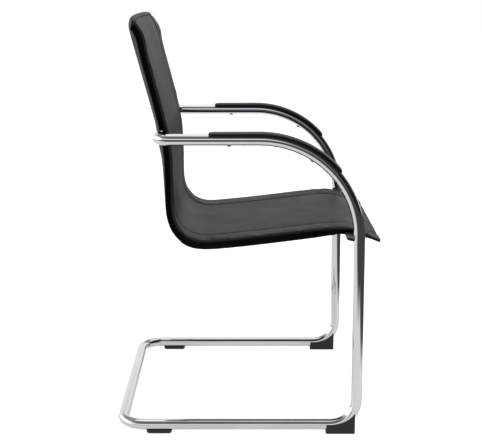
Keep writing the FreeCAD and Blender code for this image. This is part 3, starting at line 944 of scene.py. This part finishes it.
# Arm pads: a low crowned section carried along the arm, tapered and rounded at both ends
armPadShape = {
    "rearX": -82.0,
    "frontAngle": 50.0,
    "halfWidth": 17.6,
    "crown": 4.4,
    "lowRear": 6.4,
    "lowFront": 3.4,
    "endLength": 11.0,
    "endHalf": 0.5,
    "endTop": 1.4,
    "frontCrown": 0.9,
    "legLean": 1.1,
    "grooveHalf": 0.7,
    "grooveGap": 0.2,
    "leastThickness": 1.0,
    "stations": 60,
    # half the section from its lower edge over to the crown, as shares of half width and height
    "section": [
        (-0.86, 0.0), (-0.97, 0.18), (-1.0, 0.42), (-0.95, 0.66),
        (-0.8, 0.85), (-0.5, 0.965), (-0.2, 1.0),
    ],
    "under": [(0.80, 0.02), (0.66, 0.16)],
}


def armStation(run):
    # a point on the arm's centre line and its outward direction, in the side view
    radius = tube["bends"][2]
    centreX = tube["legTopX"] + armPadShape["legLean"] - radius
    straight = centreX - armPadShape["rearX"]
    if run <= straight:
        return armPadShape["rearX"] + run, tube["armHeight"], 0.0, 1.0
    turn = (run - straight) / radius
    outX = math.sin(turn)
    outZ = math.cos(turn)
    return centreX + radius * outX, tube["armHeight"] - radius + radius * outZ, outX, outZ


def armPadRing(run, total, sign):
    t = run / total
    toEnd = min(run, total - run)
    swell = math.sqrt(max(0.0, 1 - (1 - min(1.0, toEnd / armPadShape["endLength"])) ** 2))
    ends = armPadShape["endHalf"]
    half = armPadShape["halfWidth"] * (ends + (1 - ends) * swell)
    low = armPadShape["lowRear"] + (armPadShape["lowFront"] - armPadShape["lowRear"]) * t
    rise = armPadShape["crown"] + armPadShape["frontCrown"] * t - armPadShape["endTop"]
    top = tube["radius"] + armPadShape["endTop"] + rise * swell
    outline = []
    for part in (armPadShape["section"], armPadShape["under"]):
        outline += part + [(-y, n) for y, n in reversed(part)]
    x, z, outX, outZ = armStation(run)
    ring = []
    for y, n in outline:
        out = low + (top - low) * n
        if abs(y) < armPadShape["grooveHalf"] and n < 0.5:
            # the groove that sits on the tube
            grooveRadius = tube["radius"] + armPadShape["grooveGap"]
            out = math.sqrt(max(0.0, grooveRadius ** 2 - (y * half) ** 2))
            out = min(out, top - armPadShape["leastThickness"])
        ring.append(point(x + outX * out, sign * tube["halfWidth"] + y * half, z + outZ * out))
    return ring


def makeArmPad(side):
    radius = tube["bends"][2]
    total = tube["legTopX"] + armPadShape["legLean"] - radius - armPadShape["rearX"]
    total += radius * math.radians(armPadShape["frontAngle"])
    count = armPadShape["stations"]
    rings = []
    for i in range(count + 1):
        run = total * 0.5 * (1 - math.cos(math.pi * i / count))  # closer together at both ends
        rings.append(armPadRing(run, total, sides[side]))
    piece = ringStack(rings)[0]
    refine(piece)
    finishPiece(piece, "armPad_" + side, padPlastic, angle=60.0)
    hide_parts("arm_pad_" + side)
    return piece


for side in sides:
    makeArmPad(side)
print("arm pads ready")


# Fine welt along the front edge of the covers, and stitches beside the two long seams
welt = {
    "radius": 0.75,
    "depth": 17.2,
    "y": 221.0,
    "topHeight": 884.0,
    "frontX": 176.0,
    "bandInset": 0.6,
    "depthPastEnd": 24.0,
    "ringPoints": 8,
    "step": 6.0,
}
stitch = {
    "pitch": 6.2,
    "length": 4.1,
    "radius": 0.36,
    "fromSeam": 4.2,
    "lift": 0.12,
    "endGap": 8.0,
    "sides": 6,
}


def sweptWelt(path, radius, ringPoints):
    # a thin round section carried along a path
    rings = []
    for i, place in enumerate(path):
        ahead = (path[min(i + 1, len(path) - 1)] - path[max(i - 1, 0)]).normalized()
        side = Vector((0, 1, 0))
        up = ahead.cross(side).normalized()
        side = up.cross(ahead).normalized()
        ring = []
        for k in range(ringPoints):
            turn = 2 * math.pi * k / ringPoints
            ring.append(place + (side * math.cos(turn) + up * math.sin(turn)) * radius * mm)
        rings.append(ring)
    return ringStack(rings)[0]


def makeWelt(side):
    sign = sides[side]
    path = []
    start = face.atHeight(welt["topHeight"])
    for s in evenly(start, face.atFront(welt["frontX"]), welt["step"]):
        x = face.at(s)[0]
        depth = welt["depth"]
        if s > coverSplit:
            far = crossing(s, underCurve) or welt["depthPastEnd"]
            drop = far - cover["seatEdge"] - welt["bandInset"] - depth
            depth = depth + drop * seatBand(x)
        path.append(face.place(s, sign * welt["y"], depth))
    piece = sweptWelt(path, welt["radius"], welt["ringPoints"])
    return finishPiece(piece, "coverWelt_" + side, leatherette)


def makeStitches(side):
    sign = sides[side]
    deselectAll()
    bpy.ops.mesh.primitive_cylinder_add(
        vertices=stitch["sides"], radius=stitch["radius"] * mm, depth=stitch["length"] * mm,
        location=(0, 0, 0))
    one = bpy.context.active_object
    bpy.ops.object.mode_set(mode="EDIT")
    bpy.ops.mesh.select_all(action="SELECT")
    bpy.ops.mesh.bevel(offset=stitch["radius"] * 0.5 * mm, segments=1)
    bpy.ops.object.mode_set(mode="OBJECT")
    copies = []
    depth = borderDepth(stitch["fromSeam"]) - stitch["lift"]
    y = sign * (shell["seamHalfWidth"] + stitch["fromSeam"])
    count = int((face.length - padTop - 2 * stitch["endGap"]) / stitch["pitch"])
    for i in range(count):
        s = padTop + stitch["endGap"] + i * stitch["pitch"]
        copy = one.copy()
        copy.data = one.data.copy()
        scene.collection.objects.link(copy)
        copy.location = liftTop(face.place(s, y, depth), y, s - padTop)
        nx, nz = face.inward(s)
        copy.rotation_euler = (0.0, math.atan2(nz, -nx), 0.0)
        copies.append(copy)
    bpy.data.objects.remove(one)
    deselectAll()
    for copy in copies:
        copy.select_set(True)
    bpy.context.view_layer.objects.active = copies[0]
    bpy.ops.object.join()
    piece = bpy.context.active_object
    bpy.ops.object.transform_apply(location=True, rotation=True, scale=True)
    return finishPiece(piece, "seamStitches_" + side, seamThread)


for side in sides:
    makeWelt(side)
    makeStitches(side)
print("welts and stitches ready")


# Camera where the photograph was taken from
cameraLook = {
    "place": (-14.4, -2444.0, 966.9),
    "down": 12.766,
    "focalPixels": 1050.0,
    "pictureWidth": 482.0,
    "sensorWidth": 36.0,
}


def addCamera():
    data = bpy.data.cameras.new("photoCamera")
    data.sensor_fit = "HORIZONTAL"
    data.sensor_width = cameraLook["sensorWidth"]
    data.lens = cameraLook["focalPixels"] / cameraLook["pictureWidth"] * cameraLook["sensorWidth"]
    camera = bpy.data.objects.new("photoCamera", data)
    scene.collection.objects.link(camera)
    camera.location = point(*cameraLook["place"])
    camera.rotation_euler = (math.radians(90.0 - cameraLook["down"]), 0.0, 0.0)
    scene.camera = camera


addCamera()


# Studio: white to the camera; dimmer behind the camera and overhead and brighter at the left.
# Reflections also see a bright box at the camera's left and a dark right side, so that the
# polished tubes get their dark lines. A range is of the direction's X, Y or Z.
studioLook = {
    "diffuseStrength": 0.95,
    "cameraSide": 0.30,
    "cameraSideRange": (-0.75, -0.15),
    "ceiling": 0.32,
    "ceilingRange": (0.34, 0.6),
    "leftSide": 2.6,
    "leftSideRange": (-0.9, -0.6),
    "rightSide": 0.03,
    "rightSideRange": (0.3, 0.5),
    "rightSideBackRange": (0.2, 0.5),
    "softboxLow": 0.08,
    "softboxLowFade": 0.06,
    "softboxHigh": 0.50,
    "softboxHighFade": 0.1,
    "softboxFrontRange": (-0.45, -0.3),
    "softboxLeftRange": (0.05, 0.3),
}
floorLook = {
    "size": 40.0,
    "drop": 0.0005,
    "colour": (0.86, 0.86, 0.86, 1.0),
    "darkColour": (0.02, 0.02, 0.02, 1.0),
    "roughness": 0.9,
    "specular": 0.1,
    "lift": 0.78,
    "glossEdge": 1.0,
    "glossEdgeFade": 0.45,
    "glossRightRange": (0.62, 0.85),
    "glossDark": 0.06,
    "glossLift": 0.40,
}
topLamp = {
    "size": (3.0, 3.0),
    "power": 24.0,
    "place": (0.3, 0.6, 2.8),
    "target": (0.0, 0.0, 0.5),
}


white = (1.0, 1.0, 1.0, 1.0)


def mathNode(nodes, links, operation, first, second):
    node = addNode(nodes, "ShaderNodeMath", operation=operation)
    for socket, value in zip(node.inputs, (first, second)):
        if hasattr(value, "links"):
            links.new(value, socket)
        else:
            socket.default_value = value
    return node.outputs[0]


def addWorld():
    world = bpy.data.worlds.new("studio")
    scene.world = world
    world.use_nodes = True
    nodes = world.node_tree.nodes
    links = world.node_tree.links
    nodes.clear()
    output = nodes.new("ShaderNodeOutputWorld")
    direction = nodes.new("ShaderNodeTexCoord")
    parts = nodes.new("ShaderNodeSeparateXYZ")
    links.new(direction.outputs["Generated"], parts.inputs["Vector"])
    x, y, z = parts.outputs
    look = studioLook
    behind = addRange(nodes, links, y, *look["cameraSideRange"], look["cameraSide"], 1.0)
    overhead = addRange(nodes, links, z, *look["ceilingRange"], 1.0, look["ceiling"])
    leftSide = addRange(nodes, links, x, *look["leftSideRange"], look["leftSide"], 1.0)
    level = mathNode(nodes, links, "MULTIPLY", behind, overhead)
    level = mathNode(nodes, links, "MULTIPLY", level, leftSide)
    low = look["softboxLow"]
    high = look["softboxHigh"]
    rises = addRange(nodes, links, z, low, low + look["softboxLowFade"], 0.0, 1.0)
    falls = addRange(nodes, links, z, high - look["softboxHighFade"], high, 1.0, 0.0)
    inFront = addRange(nodes, links, y, *look["softboxFrontRange"], 1.0, 0.0)
    atLeft = addRange(nodes, links, x, *look["softboxLeftRange"], 1.0, 0.0)
    band = mathNode(nodes, links, "MULTIPLY", rises, falls)
    corner = mathNode(nodes, links, "MULTIPLY", inFront, atLeft)
    box = mathNode(nodes, links, "MULTIPLY", band, corner)
    beside = addRange(nodes, links, x, *look["rightSideRange"], 0.0, 1.0)
    notBehind = addRange(nodes, links, y, *look["rightSideBackRange"], 1.0, 0.0)
    shade = mathNode(nodes, links, "MULTIPLY", beside, notBehind)
    dimmed = addRange(nodes, links, shade, 0.0, 1.0, 1.0, look["rightSide"])
    brighter = mathNode(nodes, links, "MAXIMUM", level, box)
    glossy = mathNode(nodes, links, "MULTIPLY", brighter, dimmed)
    plain = mathNode(nodes, links, "MULTIPLY", level, look["diffuseStrength"])
    light = addNode(nodes, "ShaderNodeBackground", Color=white)
    links.new(plain, light.inputs["Strength"])
    shine = addNode(nodes, "ShaderNodeBackground", Color=white)
    links.new(glossy, shine.inputs["Strength"])
    backdrop = addNode(nodes, "ShaderNodeBackground", Color=white, Strength=1.0)
    rays = nodes.new("ShaderNodeLightPath")
    inGloss = nodes.new("ShaderNodeMixShader")
    glossyRay = rays.outputs["Is Glossy Ray"]
    throughRay = rays.outputs["Is Transmission Ray"]
    reflected = mathNode(nodes, links, "MAXIMUM", glossyRay, throughRay)
    links.new(reflected, inGloss.inputs["Fac"])
    links.new(light.outputs["Background"], inGloss.inputs[1])
    links.new(shine.outputs["Background"], inGloss.inputs[2])
    seen = nodes.new("ShaderNodeMixShader")
    links.new(rays.outputs["Is Camera Ray"], seen.inputs["Fac"])
    links.new(inGloss.outputs["Shader"], seen.inputs[1])
    links.new(backdrop.outputs["Background"], seen.inputs[2])
    links.new(seen.outputs["Shader"], output.inputs["Surface"])


def addFloor():
    # pale floor; the camera and polished metal see it lifted to white, with the chair's shadow kept
    deselectAll()
    bpy.ops.mesh.primitive_plane_add(size=floorLook["size"], location=(0, 0, -floorLook["drop"]))
    floor = bpy.context.active_object
    floor.name = "studioFloor"
    material, nodes, links, shader = newMaterial("paleFloor")
    shader.inputs["Roughness"].default_value = floorLook["roughness"]
    shader.inputs["Specular IOR Level"].default_value = floorLook["specular"]
    shader.inputs["Emission Color"].default_value = white
    # polished metal sees the white floor end a metre in front of the chair and beside its front
    place = nodes.new("ShaderNodeTexCoord")
    parts = nodes.new("ShaderNodeSeparateXYZ")
    links.new(place.outputs["Object"], parts.inputs["Vector"])
    x, y, _ = parts.outputs
    edge = floorLook["glossEdge"]
    near = addRange(nodes, links, y, -edge - floorLook["glossEdgeFade"], -edge, 0.0, 1.0)
    beside = addRange(nodes, links, x, *floorLook["glossRightRange"], 1.0, 0.0)
    pale = mathNode(nodes, links, "MULTIPLY", near, beside)
    rays = nodes.new("ShaderNodeLightPath")
    dim = addRange(nodes, links, pale, 0.0, 1.0, floorLook["glossDark"], 1.0)
    glossyRay = rays.outputs["Is Glossy Ray"]
    inGloss = mathNode(nodes, links, "MULTIPLY", glossyRay, dim)
    notGloss = mathNode(nodes, links, "SUBTRACT", 1.0, glossyRay)
    level = mathNode(nodes, links, "ADD", inGloss, notGloss)
    colour = mixColour(nodes, links, level, floorLook["darkColour"], floorLook["colour"])
    links.new(colour, shader.inputs["Base Color"])
    cameraRay = rays.outputs["Is Camera Ray"]
    toCamera = mathNode(nodes, links, "MULTIPLY", cameraRay, floorLook["lift"])
    toGloss = mathNode(nodes, links, "MULTIPLY", inGloss, floorLook["glossLift"])
    lifted = mathNode(nodes, links, "MAXIMUM", toCamera, toGloss)
    links.new(lifted, shader.inputs["Emission Strength"])
    floor.data.materials.append(material)


def addLamp(name, size, power, place, target):
    data = bpy.data.lights.new(name, "AREA")
    data.shape = "RECTANGLE"
    data.size = size[0]
    data.size_y = size[1]
    data.energy = power
    lamp = bpy.data.objects.new(name, data)
    scene.collection.objects.link(lamp)
    lamp.location = place
    aim = Vector(target) - Vector(place)
    lamp.rotation_euler = aim.to_track_quat("-Z", "Y").to_euler()


addWorld()
addFloor()
addLamp("topLamp", **topLamp)
print("studio ready")
